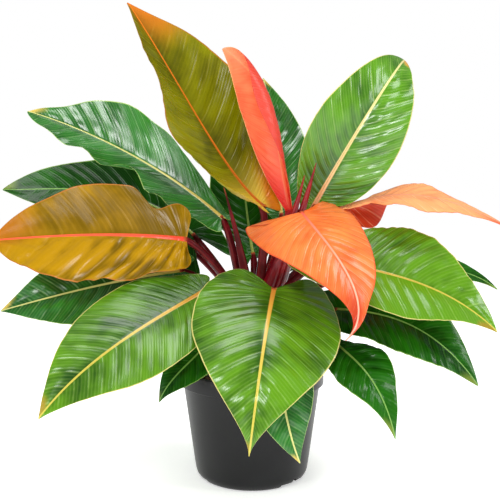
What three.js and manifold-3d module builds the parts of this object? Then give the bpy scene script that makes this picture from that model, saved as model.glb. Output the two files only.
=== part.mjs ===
// A prince of orange philodendron in its nursery pot.
// Millimetres, +Z up, the front towards -Y, the origin on the floor under the middle of the pot.
// The pot's rim is 170 mm across, as on the pots that this plant is sold in, and every other size
// is taken from its proportion to that rim.
import * as THREE from 'three';
import Module from 'manifold-3d';
import { mergeVertices } from 'three/addons/utils/BufferGeometryUtils.js';

const PLAY = 0.3;

// The pot: a rim band that stands out from a tapered wall, a rounded foot edge and a ring foot.
const RIM_RADIUS = 85;
const RIM_BAND = 18;
const RIM_LIP = 2.8;
const RIM_STEP = 3;
const EDGE = 0.8;
const POT_HEIGHT = 129;
const WALL = 1.5;
const WALL_TOP_RADIUS = 80.5;
const WALL_FOOT_RADIUS = 67.2;
const WALL_FOOT_HEIGHT = 16;
const FOOT_RADIUS = 57;
const FOOT_WIDTH = 4;
const FLOOR_HEIGHT = 3.9;
const FLOOR = 2.4;
const INSIDE_CORNER = 2.7;
const POT_SIDES = 40;
const NOTCH = { wide: 38, high: 5, deep: 24 };
const DRAIN = { wide: 6, high: 3.2, deep: 16 };
const NOTCH_PLACE = FOOT_RADIUS + 2;
// Degrees round the pot, from the front towards the right as the viewer sees it.
const NOTCH_ANGLES = [49, 169, 289];

// The compost fills the pot up to a little under its rim, with a rough top of bark pieces.
const SOIL_TOP = 121;
const SOIL_RINGS = [81.6, 74, 65, 55, 45, 35, 25];
const BARK = { broad: 1.1, fine: 1.6, dome: 3 };

// The stem stands in a hole in the compost and narrows to the crown that the stalks leave.
const STEM_RADIUS = 13;
const STEM_FOOT = 60;
const STEM_LENGTH = 80;
const STEM_SIDES = 20;
const CROWN_FOOT = [0, 0, 125];
const CROWN_TOP = [3, 0, 215];
const CROWN_FOOT_RADIUS = 12.5;
const CROWN_TOP_RADIUS = 7.5;

// A stalk leaves the crown at a height that follows the height of its leaf, and bends out to it.
const STALK_RING = 5;
const STALK_ROOT_HEIGHTS = [132, 190];
const LEAF_HEIGHTS = [160, 320];
const STALK_LEAN = 0.35;
const STALK_RUN = 0.35;
const STALK_BEND = 16;
const STALK_GAP = 0.6;
const STALK_DROP = 1.4;
const STALK_ROOT_RADIUS = 4.6;
const STALK_END_RADIUS = 2.7;
const STALK_STEPS = 9;
const STALK_SIDES = 7;

// The pointed sheaths that new leaves came out of.
const SHEATH_RADIUS = 5;
const SHEATH_TIP_RADIUS = 0.4;
const SHEATH_TAPER = 0.7;
const SHEATH_STEPS = 6;
const SHEATH_SIDES = 6;
const SHEATHS = [
  { root: [0, -8, 185], middle: [-5, -34, 250], tip: [-31, -45, 340] },
  { root: [10, -6, 190], middle: [38, -30, 270], tip: [58, -50, 353] },
  { root: [14, -2, 188], middle: [46, -28, 270], tip: [71, -48, 367] },
];

// What all the leaf blades share.
const BLADE_HALF_THICKNESS = 0.45;
const BASE_HALF_WIDTH = 3.6;
const TIP_HALF_WIDTH = 0.4;
const RIB_HALF_WIDTH = 5;
const RIB_DEPTH = 3.6;
const RIB_THINNING = 0.9;
const LOBE_REACH = 0.07;
const EDGE_POWER = 1.3;
const VEIN_ROOT_POWER = 1.6;
const VEIN_SWEEP = 1.6;
const TIP_TAPER = 5;
const BASE_FADE = [0.15, 0.45];
const WAVE_SHIFT = 0.37;
const BLADE_ROWS = 12;
const BLADE_COLUMNS = [-1, -0.68, -0.35, -0.08, 0, 0.08, 0.35, 0.68, 1];

// Each leaf blade, by the places of its midrib and by how its two halves lie:
// base, third, twoThirds, tip: points of the midrib from the stalk to the tip
// face: the way its upper side looks, twist: degrees it turns about the rib from base to tip
// width: half its breadth, widest: a power, smaller where it is broadest nearer the base
// point: a power, larger where the blade narrows sooner to a long tip
// lobe: how far each half reaches back past the stalk, as a share of the length
// fold: degrees by which each half, right then left, is raised at the rib
// baseFold: degrees added to the fold near the base, fading out further along
// curl: degrees by which each half is rolled from the rib to its margin
// wave: the height, number and start of the waves along the margins
const USUAL = {
  widest: 1, point: 0.15, lobe: [0.08, 0.08], twist: 0, fold: [6, 6], baseFold: [0, 0],
  curl: [-10, -10], wave: [3, 2, 0],
};
const LEAVES = {
  top_bronze: {
    look: 'bronze', width: 66, widest: 1.2, point: 0, lobe: [0.1, 0.06],
    base: [12, -30, 319], third: [-33, -42, 373], twoThirds: [-80, -57, 450], tip: [-131, -74, 533],
    face: [0.45, -1, 0.15], twist: 12, fold: [14, 38], baseFold: [0, 20],
    curl: [-10, 15], wave: [7, 2.5, 0.25],
  },
  new_coral: {
    look: 'coral', width: 42, widest: 1.45, point: 0.1, lobe: [0, 0],
    base: [44, -32, 312], third: [40, -50, 381], twoThirds: [20, -66, 441], tip: [-31, -80, 484],
    face: [-0.6, -1, 0.1], fold: [20, 20], curl: [140, 75], wave: [0, 1, 0],
  },
  upper_left: {
    look: 'green', width: 50, widest: 1.25, lobe: [0.06, 0.06],
    base: [-34, -15, 305], third: [-108, 5, 359], twoThirds: [-187, 2, 401], tip: [-257, -10, 427],
    face: [-0.1, -1, 0.75], fold: [16, 24], curl: [20, 10], wave: [5, 2.5, 0.5],
  },
  dark_left: {
    look: 'darkGreen', width: 47, lobe: [0.1, 0.1],
    base: [-69, 20, 283], third: [-150, 45, 320], twoThirds: [-234, 48, 339], tip: [-297, 20, 338],
    face: [0, -1, 0.8], fold: [5, 5], curl: [10, -10], wave: [4, 2, 0],
  },
  golden_left: {
    look: 'golden', width: 62, widest: 1.05, point: 0, lobe: [0.07, 0.04],
    base: [-71, -64, 283], third: [-144, -66, 288], twoThirds: [-220, -55, 286], tip: [-289, -45, 281],
    face: [0, -1, 0.45], fold: [0, 5], baseFold: [-40, 0], curl: [15, 20], wave: [4, 3, 0],
  },
  low_left: {
    look: 'green', width: 54, point: 0, lobe: [0.1, 0.1],
    base: [-80, -20, 245], third: [-151, -25, 233], twoThirds: [-218, -30, 218], tip: [-283, -40, 201],
    face: [0, -1, 0.6], fold: [5, 10], curl: [10, 10], wave: [4, 2, 0],
  },
  front_left: {
    look: 'green', width: 55, point: 0.05, lobe: [0.08, 0.1],
    base: [-48, -75, 230], third: [-104, -120, 201], twoThirds: [-156, -160, 167], tip: [-200, -190, 122],
    face: [0, -1, 0.7], fold: [5, 14], curl: [-15, -15], wave: [3, 2.5, 0],
  },
  front_centre: {
    look: 'green', width: 74, widest: 0.62, point: 0.5, lobe: [0.13, 0.13],
    base: [24, -70, 230], third: [13, -130, 186], twoThirds: [4, -165, 134], tip: [-3, -175, 81],
    face: [0.1, -1, 0.6], fold: [8, 4], curl: [-20, -20], wave: [3, 2, 0.5],
  },
  front_orange: {
    look: 'orange', width: 60, widest: 0.45, point: 2, lobe: [0.26, 0.15],
    base: [57, -60, 307], third: [78, -130, 279], twoThirds: [97, -185, 238], tip: [85, -205, 199],
    face: [-0.2, -0.7, 1], fold: [-5, -12], curl: [-20, -20], wave: [2, 2, 0],
  },
  right_orange: {
    look: 'orange', width: 42, widest: 0.9, point: 0.2, lobe: [0.08, 0.03],
    base: [104, -22, 319], third: [159, -38, 331], twoThirds: [217, -52, 324], tip: [279, -60, 294],
    face: [0, -0.1, 1], fold: [-3, 14], baseFold: [0, -102], curl: [-10, 0],
  },
  upper_right: {
    look: 'green', width: 50, widest: 1.12, point: 0.05, lobe: [0, 0.08],
    base: [71, -20, 319], third: [99, -35, 371], twoThirds: [142, -35, 442], tip: [180, 20, 490],
    face: [-0.1, -1, 0.2], fold: [4, 30], curl: [-10, 0], wave: [5, 2.5, 0],
  },
  behind_new: {
    look: 'darkGreen', width: 38, point: 0.1, lobe: [0.05, 0.05],
    base: [36, 35, 307], third: [32, 50, 363], twoThirds: [25, 55, 422], tip: [14, 50, 474],
    face: [0, -1, 0.2], fold: [8, 8], curl: [5, 5],
  },
  right_green: {
    look: 'green', width: 60, point: 0, lobe: [0.2, 0.1],
    base: [77, -55, 259], third: [137, -80, 249], twoThirds: [198, -95, 229], tip: [257, -100, 188],
    face: [0, -1, 0.8], fold: [25, 12], curl: [-15, -15], wave: [4, 2, 0],
  },
  right_back: {
    look: 'darkGreen', width: 30, lobe: [0.1, 0.1],
    base: [117, 20, 238], third: [180, 40, 243], twoThirds: [246, 48, 240], tip: [302, 38, 216],
    face: [0, -1, 1.4],
  },
  right_lower: {
    look: 'darkGreen', width: 42, lobe: [0.1, 0.1],
    base: [94, -40, 203], third: [146, -65, 199], twoThirds: [195, -80, 177], tip: [243, -85, 127],
    face: [0, -1, 0.9], fold: [16, 6],
  },
  right_drooping: {
    look: 'darkGreen', width: 32,
    base: [92, -60, 169], third: [109, -85, 156], twoThirds: [131, -100, 129], tip: [151, -105, 75],
    face: [0.3, -1, 0.6], wave: [2, 2, 0],
  },
  under_centre: {
    look: 'green', width: 33,
    base: [22, -70, 180], third: [28, -108, 144], twoThirds: [36, -125, 101], tip: [49, -130, 58],
    face: [0.1, -1, 0.5], wave: [2, 2, 0],
  },
  rim_left: {
    look: 'darkGreen', width: 32,
    base: [-42, -40, 175], third: [-57, -60, 159], twoThirds: [-81, -70, 136], tip: [-101, -75, 106],
    face: [-0.3, -1, 0.7], wave: [2, 2, 0],
  },
  behind_bronze: {
    look: 'darkGreen', width: 42,
    base: [2, 30, 259], third: [-7, 60, 320], twoThirds: [-15, 80, 390], tip: [-25, 85, 459],
    face: [0, -1, 0.3],
  },
  back_low: {
    look: 'darkGreen', width: 50, widest: 0.95, point: 0.2, lobe: [0.12, 0.12],
    base: [5, 75, 215], third: [10, 130, 205], twoThirds: [15, 175, 165], tip: [18, 195, 110],
    face: [0, 0.8, 1],
  },
  back_left: {
    look: 'green', width: 46, widest: 0.95, point: 0.2, lobe: [0.12, 0.12],
    base: [-75, 85, 262], third: [-125, 130, 285], twoThirds: [-175, 170, 280], tip: [-220, 195, 250],
    face: [0, 0.2, 1],
  },
  back_right: {
    look: 'green', width: 44, widest: 0.95, point: 0.2, lobe: [0.12, 0.12],
    base: [60, 80, 240], third: [90, 130, 262], twoThirds: [118, 175, 262], tip: [140, 210, 235],
    face: [0, 0.3, 1],
  },
  back_upper: {
    look: 'darkGreen', width: 38, widest: 0.95, point: 0.2, lobe: [0.1, 0.1],
    base: [75, 70, 325], third: [105, 105, 370], twoThirds: [130, 130, 410], tip: [150, 140, 450],
    face: [0, 0.8, 1],
  },
};

const FINISHES = {
  pot: { color: '#34353a', roughness: 0.5 },
  soil: { color: '#3b2419', roughness: 0.95 },
  stalk: { color: '#5a1016', roughness: 0.35 },
  green: { color: '#3f8f1c', roughness: 0.3 },
  darkGreen: { color: '#17501c', roughness: 0.3 },
  bronze: { color: '#7b6c0c', roughness: 0.3 },
  golden: { color: '#b98a1c', roughness: 0.3 },
  orange: { color: '#f5842c', roughness: 0.3 },
  coral: { color: '#ee5a3c', roughness: 0.3 },
};

const wasm = await Module();
wasm.setup();

const { clamp, smoothstep, mapLinear, lerp } = THREE.MathUtils;
const degrees = (angle) => (angle * Math.PI) / 180;
const vector = (xyz) => new THREE.Vector3(...xyz);
const at = (radius, height) => new THREE.Vector2(radius, height);
const plant = new THREE.Group();

function addMesh(name, geometry, look) {
  const material = new THREE.MeshStandardMaterial({ metalness: 0, ...FINISHES[look] });
  const mesh = new THREE.Mesh(geometry, material);
  mesh.name = name;
  plant.add(mesh);
}

function geometryOf(points, triangles) {
  const geometry = new THREE.BufferGeometry();
  const flat = points.flatMap((point) => point.toArray());
  geometry.setAttribute('position', new THREE.Float32BufferAttribute(flat, 3));
  geometry.setIndex(triangles);
  return geometry;
}

function toSolid(geometry) {
  const bare = geometry.clone();
  bare.deleteAttribute('normal');
  bare.deleteAttribute('uv');
  const merged = mergeVertices(bare, 1e-4);
  return new wasm.Manifold(
    new wasm.Mesh({
      numProp: 3,
      vertProperties: new Float32Array(merged.attributes.position.array),
      triVerts: new Uint32Array(merged.index.array),
    }),
  );
}

function fromSolid(solid) {
  const mesh = solid.getMesh();
  const geometry = new THREE.BufferGeometry();
  geometry.setAttribute('position', new THREE.BufferAttribute(mesh.vertProperties, 3));
  geometry.setIndex(new THREE.BufferAttribute(mesh.triVerts, 1));
  return geometry;
}

function lathe(profile) {
  return new THREE.LatheGeometry(profile, POT_SIDES).rotateX(Math.PI / 2);
}

const BAND_FOOT = POT_HEIGHT - RIM_BAND;
const INSIDE_FLOOR = FLOOR_HEIGHT + FLOOR;

// The rounded edge between the foot and the wall, as a quarter of an ellipse.
function footEdge() {
  const wide = WALL_FOOT_RADIUS - FOOT_RADIUS;
  return [0, 30, 60, 90].map((turn) => {
    const rise = 1 - Math.cos(degrees(turn));
    return at(FOOT_RADIUS + wide * Math.sin(degrees(turn)), WALL_FOOT_HEIGHT * rise);
  });
}

// The inside of that edge from the floor up, or the same line a little clear of it.
function insideFoot(clear) {
  const wall = WALL_FOOT_RADIUS - WALL - clear;
  return [
    at(wall - INSIDE_CORNER, INSIDE_FLOOR + clear),
    at(wall - INSIDE_CORNER / 3, INSIDE_FLOOR + INSIDE_CORNER + clear / 2),
    at(wall, WALL_FOOT_HEIGHT),
  ];
}

function makePot() {
  const lip = RIM_RADIUS - RIM_LIP;
  const profile = [
    at(0, FLOOR_HEIGHT),
    at(FOOT_RADIUS - FOOT_WIDTH, FLOOR_HEIGHT),
    at(FOOT_RADIUS - FOOT_WIDTH, 0),
    ...footEdge(),
    at(WALL_TOP_RADIUS, BAND_FOOT - EDGE),
    at(RIM_RADIUS - EDGE, BAND_FOOT),
    at(RIM_RADIUS, BAND_FOOT + EDGE),
    at(RIM_RADIUS, POT_HEIGHT - EDGE),
    at(RIM_RADIUS - EDGE, POT_HEIGHT),
    at(lip + EDGE, POT_HEIGHT),
    at(lip, POT_HEIGHT - EDGE),
    at(lip, BAND_FOOT + RIM_STEP),
    at(WALL_TOP_RADIUS - WALL, BAND_FOOT),
    ...insideFoot(0).reverse(),
    at(0, INSIDE_FLOOR),
  ];
  let pot = toSolid(lathe(profile));
  for (const angle of NOTCH_ANGLES) {
    const notch = new THREE.BoxGeometry(NOTCH.wide, NOTCH.deep, NOTCH.high * 2);
    const drain = new THREE.BoxGeometry(DRAIN.wide, DRAIN.deep, DRAIN.high * 2);
    notch.translate(0, -NOTCH_PLACE, 0);
    drain.translate(0, -NOTCH_PLACE, NOTCH.high);
    for (const cut of [notch, drain]) {
      pot = pot.subtract(toSolid(cut.rotateZ(degrees(angle))));
    }
  }
  return fromSolid(pot);
}

function barkHeight(radius, angle) {
  const broad = Math.sin(3 * angle + radius * 0.11) + Math.sin(7 * angle - radius * 0.23);
  const fine = Math.sin(13 * angle + radius * 0.61) * Math.cos(5 * angle + radius * 0.37);
  const dome = Math.cos((Math.PI / 2) * (radius / RIM_RADIUS));
  return SOIL_TOP + BARK.broad * broad + BARK.fine * fine + BARK.dome * dome;
}

function makeSoil() {
  const hole = STEM_RADIUS + PLAY;
  const bandInside = SOIL_RINGS[0];
  const soil = lathe([
    at(0, INSIDE_FLOOR + PLAY),
    ...insideFoot(PLAY),
    at(WALL_TOP_RADIUS - WALL - PLAY, BAND_FOOT + PLAY),
    at(bandInside, BAND_FOOT + RIM_STEP + PLAY),
    ...SOIL_RINGS.map((radius) => at(radius, SOIL_TOP)),
    at(hole, SOIL_TOP),
    at(hole, STEM_FOOT - PLAY),
    at(0, STEM_FOOT - PLAY),
  ]);
  const place = soil.attributes.position;
  for (let i = 0; i < place.count; i += 1) {
    const radius = Math.hypot(place.getX(i), place.getY(i));
    if (place.getZ(i) > SOIL_TOP - PLAY) {
      place.setZ(i, barkHeight(radius, Math.atan2(place.getY(i), place.getX(i))));
    }
  }
  return fromSolid(toSolid(soil));
}

// The cubic curve that starts at the first point, ends at the last and passes through the others.
function curveThrough(first, second, third, last) {
  const mix = (a, b, c, d) =>
    new THREE.Vector3()
      .addScaledVector(first, a / 6)
      .addScaledVector(second, b / 6)
      .addScaledVector(third, c / 6)
      .addScaledVector(last, d / 6);
  return new THREE.CubicBezierCurve3(first, mix(-5, 18, -9, 2), mix(2, -9, 18, -5), last);
}

function midribOf(leaf) {
  const { base, third, twoThirds, tip } = leaf;
  return curveThrough(...[base, third, twoThirds, tip].map(vector));
}

// Where the blade's sheet is at a share along it and across it, and which way its upper side looks.
function sheetPoint(leaf, rib, length, along, across) {
  const side = Math.sign(across) || 1;
  const half = side > 0 ? 0 : 1;
  const taper = (1 - along ** TIP_TAPER) ** leaf.point;
  const round = Math.sin(Math.PI * along ** leaf.widest) * taper;
  const edge = BASE_HALF_WIDTH * (1 - along) + TIP_HALF_WIDTH + leaf.width * round;
  const lobe = leaf.lobe[half] * (along / LOBE_REACH) * Math.exp(1 - along / LOBE_REACH);
  const edgePlace = along ** EDGE_POWER - lobe;
  const root = along ** VEIN_ROOT_POWER;
  const place = root + (edgePlace - root) * Math.abs(across) ** VEIN_SWEEP;

  const onRib = clamp(place, 0, 1);
  const centre = rib.getPoint(onRib);
  const forward = rib.getTangent(onRib);
  centre.addScaledVector(forward, (place - onRib) * length);
  const right = new THREE.Vector3().crossVectors(forward, vector(leaf.face)).normalize();
  right.applyAxisAngle(forward, degrees(leaf.twist * onRib));
  const up = new THREE.Vector3().crossVectors(right, forward);

  const reach = edge * Math.abs(across);
  const curl = degrees(leaf.curl[half] || 0.5);
  const nearBase = 1 - smoothstep(along, ...BASE_FADE);
  const fold = degrees(leaf.fold[half] + leaf.baseFold[half] * nearBase);
  const turn = (curl * reach) / leaf.width;
  const radius = leaf.width / curl;
  const out = radius * Math.sin(turn);
  const lift = radius * (1 - Math.cos(turn));
  const [waveHeight, waveCount, waveStart] = leaf.wave;
  const phase = waveCount * along + waveStart + (side > 0 ? WAVE_SHIFT : 0);
  const wave = waveHeight * (reach / leaf.width) ** 2 * Math.sin(2 * Math.PI * phase);
  const sideways = side * (out * Math.cos(fold) - lift * Math.sin(fold));
  const upwards = out * Math.sin(fold) + lift * Math.cos(fold) + wave;
  const point = centre.addScaledVector(right, sideways).addScaledVector(up, upwards);
  const normal = up
    .clone()
    .multiplyScalar(Math.cos(fold + turn))
    .addScaledVector(right, -side * Math.sin(fold + turn));
  return { point, normal, reach };
}

// Both faces of the blade are split into the same triangles and joined round the margin.
function makeBlade(leaf) {
  const rib = midribOf(leaf);
  const length = rib.getLength();
  const upper = [];
  const under = [];
  for (let row = 0; row < BLADE_ROWS; row += 1) {
    const along = 0.5 - 0.5 * Math.cos((Math.PI * row) / (BLADE_ROWS - 1));
    for (const across of BLADE_COLUMNS) {
      const { point, normal, reach } = sheetPoint(leaf, rib, length, along, across);
      const nearRib = Math.max(0, 1 - reach / RIB_HALF_WIDTH);
      const keel = RIB_DEPTH * (1 - RIB_THINNING * along) * nearRib;
      upper.push(point.clone().addScaledVector(normal, BLADE_HALF_THICKNESS));
      under.push(point.clone().addScaledVector(normal, -BLADE_HALF_THICKNESS - keel));
    }
  }
  const wide = BLADE_COLUMNS.length;
  const below = upper.length;
  const triangles = [];
  for (let row = 0; row + 1 < BLADE_ROWS; row += 1) {
    for (let column = 0; column + 1 < wide; column += 1) {
      const a = row * wide + column;
      const [b, c, d] = [a + 1, a + wide + 1, a + wide];
      const cuts = column < wide / 2 - 1 ? [a, b, c, a, c, d] : [a, b, d, b, c, d];
      triangles.push(...cuts);
      triangles.push(...cuts.map((corner) => corner + below).reverse());
    }
  }
  const last = BLADE_ROWS - 1;
  const loop = [];
  for (let column = 0; column < wide; column += 1) loop.push(column);
  for (let row = 1; row < last; row += 1) loop.push(row * wide + wide - 1);
  for (let column = wide - 1; column >= 0; column -= 1) loop.push(last * wide + column);
  for (let row = last - 1; row > 0; row -= 1) loop.push(row * wide);
  loop.forEach((from, index) => {
    const to = loop[(index + 1) % loop.length];
    triangles.push(from, from + below, to, to, from + below, to + below);
  });
  return geometryOf([...upper, ...under], triangles);
}

// A tube round a curve, with a radius for each share along it and a flat disc at each end.
function makeTube(curve, radiusAt, steps, sides) {
  const frames = curve.computeFrenetFrames(steps);
  const points = [];
  for (let step = 0; step <= steps; step += 1) {
    const centre = curve.getPoint(step / steps);
    const radius = radiusAt(step / steps);
    for (let side = 0; side < sides; side += 1) {
      const angle = (2 * Math.PI * side) / sides;
      points.push(
        centre
          .clone()
          .addScaledVector(frames.normals[step], radius * Math.cos(angle))
          .addScaledVector(frames.binormals[step], radius * Math.sin(angle)),
      );
    }
  }
  const triangles = [];
  for (let step = 0; step < steps; step += 1) {
    for (let side = 0; side < sides; side += 1) {
      const next = (side + 1) % sides;
      const [a, b] = [step * sides + side, step * sides + next];
      triangles.push(a, b, b + sides, a, b + sides, a + sides);
    }
  }
  const end = steps * sides;
  for (let side = 1; side + 1 < sides; side += 1) {
    triangles.push(0, side + 1, side);
    triangles.push(end, end + side, end + side + 1);
  }
  return geometryOf(points, triangles);
}

function makeStem() {
  const foot = new THREE.CylinderGeometry(STEM_RADIUS, STEM_RADIUS, STEM_LENGTH, STEM_SIDES);
  foot.rotateX(Math.PI / 2).translate(0, 0, STEM_FOOT + STEM_LENGTH / 2);
  const curve = new THREE.LineCurve3(vector(CROWN_FOOT), vector(CROWN_TOP));
  const radiusAt = (share) => lerp(CROWN_FOOT_RADIUS, CROWN_TOP_RADIUS, share);
  return toSolid(foot).add(toSolid(makeTube(curve, radiusAt, 4, STEM_SIDES / 2)));
}

// A stalk rises from the crown and ends just short of its blade, under the root of the midrib.
function stalkCurve(leaf) {
  const rib = midribOf(leaf);
  const forward = rib.getTangent(0);
  const { normal } = sheetPoint(leaf, rib, rib.getLength(), 0, 0);
  const end = vector(leaf.base)
    .addScaledVector(forward, -STALK_GAP)
    .addScaledVector(normal, -STALK_DROP);
  const angle = Math.atan2(leaf.base[1], leaf.base[0] - CROWN_TOP[0]);
  const outwards = new THREE.Vector3(Math.cos(angle), Math.sin(angle), 0);
  const height = mapLinear(leaf.base[2], ...LEAF_HEIGHTS, ...STALK_ROOT_HEIGHTS);
  const root = new THREE.Vector3(CROWN_TOP[0], 0, clamp(height, ...STALK_ROOT_HEIGHTS));
  root.addScaledVector(outwards, STALK_RING);
  const rise = new THREE.Vector3(0, 0, 1).addScaledVector(outwards, STALK_LEAN).normalize();
  const from = root.clone().addScaledVector(rise, end.distanceTo(root) * STALK_RUN);
  const to = end.clone().addScaledVector(forward, -STALK_BEND);
  return new THREE.CubicBezierCurve3(root, from, to, end);
}

function makeStalks(leaves) {
  let solid = makeStem();
  for (const leaf of leaves) {
    const radiusAt = (share) => lerp(STALK_ROOT_RADIUS, STALK_END_RADIUS, share);
    solid = solid.add(toSolid(makeTube(stalkCurve(leaf), radiusAt, STALK_STEPS, STALK_SIDES)));
  }
  for (const { root, middle, tip } of SHEATHS) {
    const curve = new THREE.QuadraticBezierCurve3(vector(root), vector(middle), vector(tip));
    const radiusAt = (share) => lerp(SHEATH_TIP_RADIUS, SHEATH_RADIUS, (1 - share) ** SHEATH_TAPER);
    solid = solid.add(toSolid(makeTube(curve, radiusAt, SHEATH_STEPS, SHEATH_SIDES)));
  }
  return fromSolid(solid);
}

const leaves = new Map();
for (const [name, leaf] of Object.entries(LEAVES)) leaves.set(name, { ...USUAL, ...leaf });

addMesh('pot', makePot(), 'pot');
addMesh('soil', makeSoil(), 'soil');
addMesh('stem_and_stalks', makeStalks(leaves.values()), 'stalk');
for (const [name, leaf] of leaves) addMesh(`blade_${name}`, makeBlade(leaf), leaf.look);

export default plant;
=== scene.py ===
import math
import bmesh
import bpy
from mathutils import Matrix, Vector, noise


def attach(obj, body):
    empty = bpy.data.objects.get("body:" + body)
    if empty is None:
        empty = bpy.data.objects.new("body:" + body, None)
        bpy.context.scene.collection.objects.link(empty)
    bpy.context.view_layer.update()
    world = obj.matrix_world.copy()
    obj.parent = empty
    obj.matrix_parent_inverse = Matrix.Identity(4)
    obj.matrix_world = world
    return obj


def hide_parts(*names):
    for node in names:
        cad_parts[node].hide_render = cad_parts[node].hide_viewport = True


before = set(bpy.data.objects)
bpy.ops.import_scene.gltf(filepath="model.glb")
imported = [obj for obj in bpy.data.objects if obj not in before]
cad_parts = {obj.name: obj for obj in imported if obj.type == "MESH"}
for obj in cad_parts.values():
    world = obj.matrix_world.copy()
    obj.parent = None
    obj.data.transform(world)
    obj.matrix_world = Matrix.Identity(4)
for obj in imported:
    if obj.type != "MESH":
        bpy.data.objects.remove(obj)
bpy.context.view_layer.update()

# The plant stands on a glowing white table in a white room, under four soft lamps: one over it,
# one in front and one on each side. It is seen from just under a metre, a little from above.
scene = bpy.context.scene
scene.view_settings.view_transform = "Standard"
SENSOR_WIDTH = 36
FOCAL_PIXELS = 755
PICTURE_PIXELS = 500
CAMERA_PLACE = (-0.002, -0.884, 0.329)
# Degrees up from looking straight down.
CAMERA_TILT = 86
lens = bpy.data.cameras.new("camera")
lens.sensor_width = SENSOR_WIDTH
lens.lens = SENSOR_WIDTH * FOCAL_PIXELS / PICTURE_PIXELS
camera = bpy.data.objects.new("camera", lens)
camera.location = CAMERA_PLACE
camera.rotation_euler = (math.radians(CAMERA_TILT), 0, 0)
scene.collection.objects.link(camera)
scene.camera = camera

world = bpy.data.worlds.new("white room")
scene.world = world
world.use_nodes = True
# The walls are white to the camera, and give the plant only this much light.
WALL_LIGHT = 0.3
walls = world.node_tree.nodes["Background"]
walls.inputs["Color"].default_value = (1, 1, 1, 1)
seen = world.node_tree.nodes.new("ShaderNodeLightPath").outputs["Is Camera Ray"]
brightness = world.node_tree.nodes.new("ShaderNodeMapRange")
brightness.inputs["To Min"].default_value = WALL_LIGHT
brightness.inputs["To Max"].default_value = 1.0
world.node_tree.links.new(seen, brightness.inputs["Value"])
world.node_tree.links.new(brightness.outputs["Result"], walls.inputs["Strength"])


def hang_lamp(name, place, target, size, power):
    data = bpy.data.lights.new(name, "AREA")
    data.shape = "RECTANGLE"
    data.size, data.size_y = size
    data.energy = power
    lamp = bpy.data.objects.new(name, data)
    lamp.location = place
    lamp.rotation_euler = (Vector(target) - Vector(place)).to_track_quat("-Z", "Y").to_euler()
    scene.collection.objects.link(lamp)


hang_lamp("lamp_over", place=(0.1, -0.2, 1.6), target=(0, 0, 0.3), size=(0.7, 0.8), power=12)
hang_lamp("lamp_front", place=(-0.15, -1.5, 1.05), target=(0, 0, 0.35), size=(0.5, 0.35), power=13.5)
hang_lamp("lamp_left", place=(-1.1, -1.15, 0.6), target=(0, 0, 0.2), size=(0.35, 0.9), power=6.5)
hang_lamp("lamp_right", place=(1.5, -0.5, 0.8), target=(0, 0, 0.25), size=(0.4, 0.8), power=10)


def add_piece(name, mesh):
    piece = bpy.data.objects.new(name, mesh)
    scene.collection.objects.link(piece)
    return piece


def plain_material(name, **values):
    """A material whose Principled BSDF holds these values, as (material, node tree, shader)."""
    material = bpy.data.materials.new(name)
    material.use_nodes = True
    shader = material.node_tree.nodes["Principled BSDF"]
    for label, value in values.items():
        shader.inputs[label.replace("_", " ")].default_value = value
    return material, material.node_tree, shader


TABLE_RADIUS = 8
TABLE_SIDES = 64
# The table glows less round the pot, where its shadow falls: the distances from the middle
# between which the glow grows, and its strength at each.
TABLE_GLOW = {"From Min": 0.06, "From Max": 0.22, "To Min": 0.42, "To Max": 0.84}
table_mesh = bpy.data.meshes.new("table")
form = bmesh.new()
bmesh.ops.create_circle(form, cap_ends=True, segments=TABLE_SIDES, radius=TABLE_RADIUS)
form.to_mesh(table_mesh)
form.free()
table_white, tree, shader = plain_material(
    "table white", Base_Color=(0.9, 0.9, 0.9, 1), Roughness=0.9, Specular_IOR_Level=0,
    Emission_Color=(1, 1, 1, 1))
table_mesh.materials.append(table_white)
out_there = tree.nodes.new("ShaderNodeVectorMath")
out_there.operation = "LENGTH"
tree.links.new(tree.nodes.new("ShaderNodeTexCoord").outputs["Object"], out_there.inputs[0])
glow = tree.nodes.new("ShaderNodeMapRange")
for label, value in TABLE_GLOW.items():
    glow.inputs[label].default_value = value
tree.links.new(out_there.outputs["Value"], glow.inputs["Value"])
tree.links.new(glow.outputs["Result"], shader.inputs["Emission Strength"])
add_piece("table", table_mesh)

# The pot is one thin wall of charcoal polypropylene, moulded with a band round its rim.
# Three notches in its ring foot, each with a drain hole over it, let water out. Its skin is
# satin, with a fine grain from the mould and a little compost dust along the rim.
MM = 0.001
RIM_RADIUS = 85
RIM_HEIGHT = 129
POT_SIDES = 160
CORNER_STEPS = 4
# A rounded corner takes at most one part in this many of each side that it joins.
SIDE_PARTS = 2.1
# Edges sharper than this many degrees stay crisp.
POT_CRISP = 40
# Each corner of half the pot's section: radius, height, and how far it is rounded.
POT_SECTION = [
    (0, 3.9, 0), (53, 3.9, 0.8), (53, 0, 0.8), (57, 0, 1.2), (62.1, 2.2, 3), (65.8, 8, 3),
    (67.2, 16, 5), (80.5, 110.6, 0.6), (RIM_RADIUS, 111.2, 1.2), (RIM_RADIUS, RIM_HEIGHT, 1.4),
    (82.2, RIM_HEIGHT, 1.2), (82.2, 114, 0.8), (79, 111, 1), (65.7, 16, 4), (64.5, 9, 2.5),
    (62, 6.3, 1), (0, 6.3, 0),
]
# Width, depth, height and middle height of the notches and of the drain holes.
FOOT_CUTS = [(38, 24, 10, 0), (6, 16, 6.4, 5)]
FOOT_CUT_RADIUS = 59
FOOT_CUT_ANGLES = [49, 169, 289]
POT_CHARCOAL = (0.005, 0.005, 0.0055, 1)
POT_CHARCOAL_WORN = (0.009, 0.009, 0.010, 1)
POT_DUST = (0.16, 0.13, 0.10, 1)
# The heights between which the dust sets in, in metres.
DUST_HEIGHTS = (0.120, 0.129)


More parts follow.
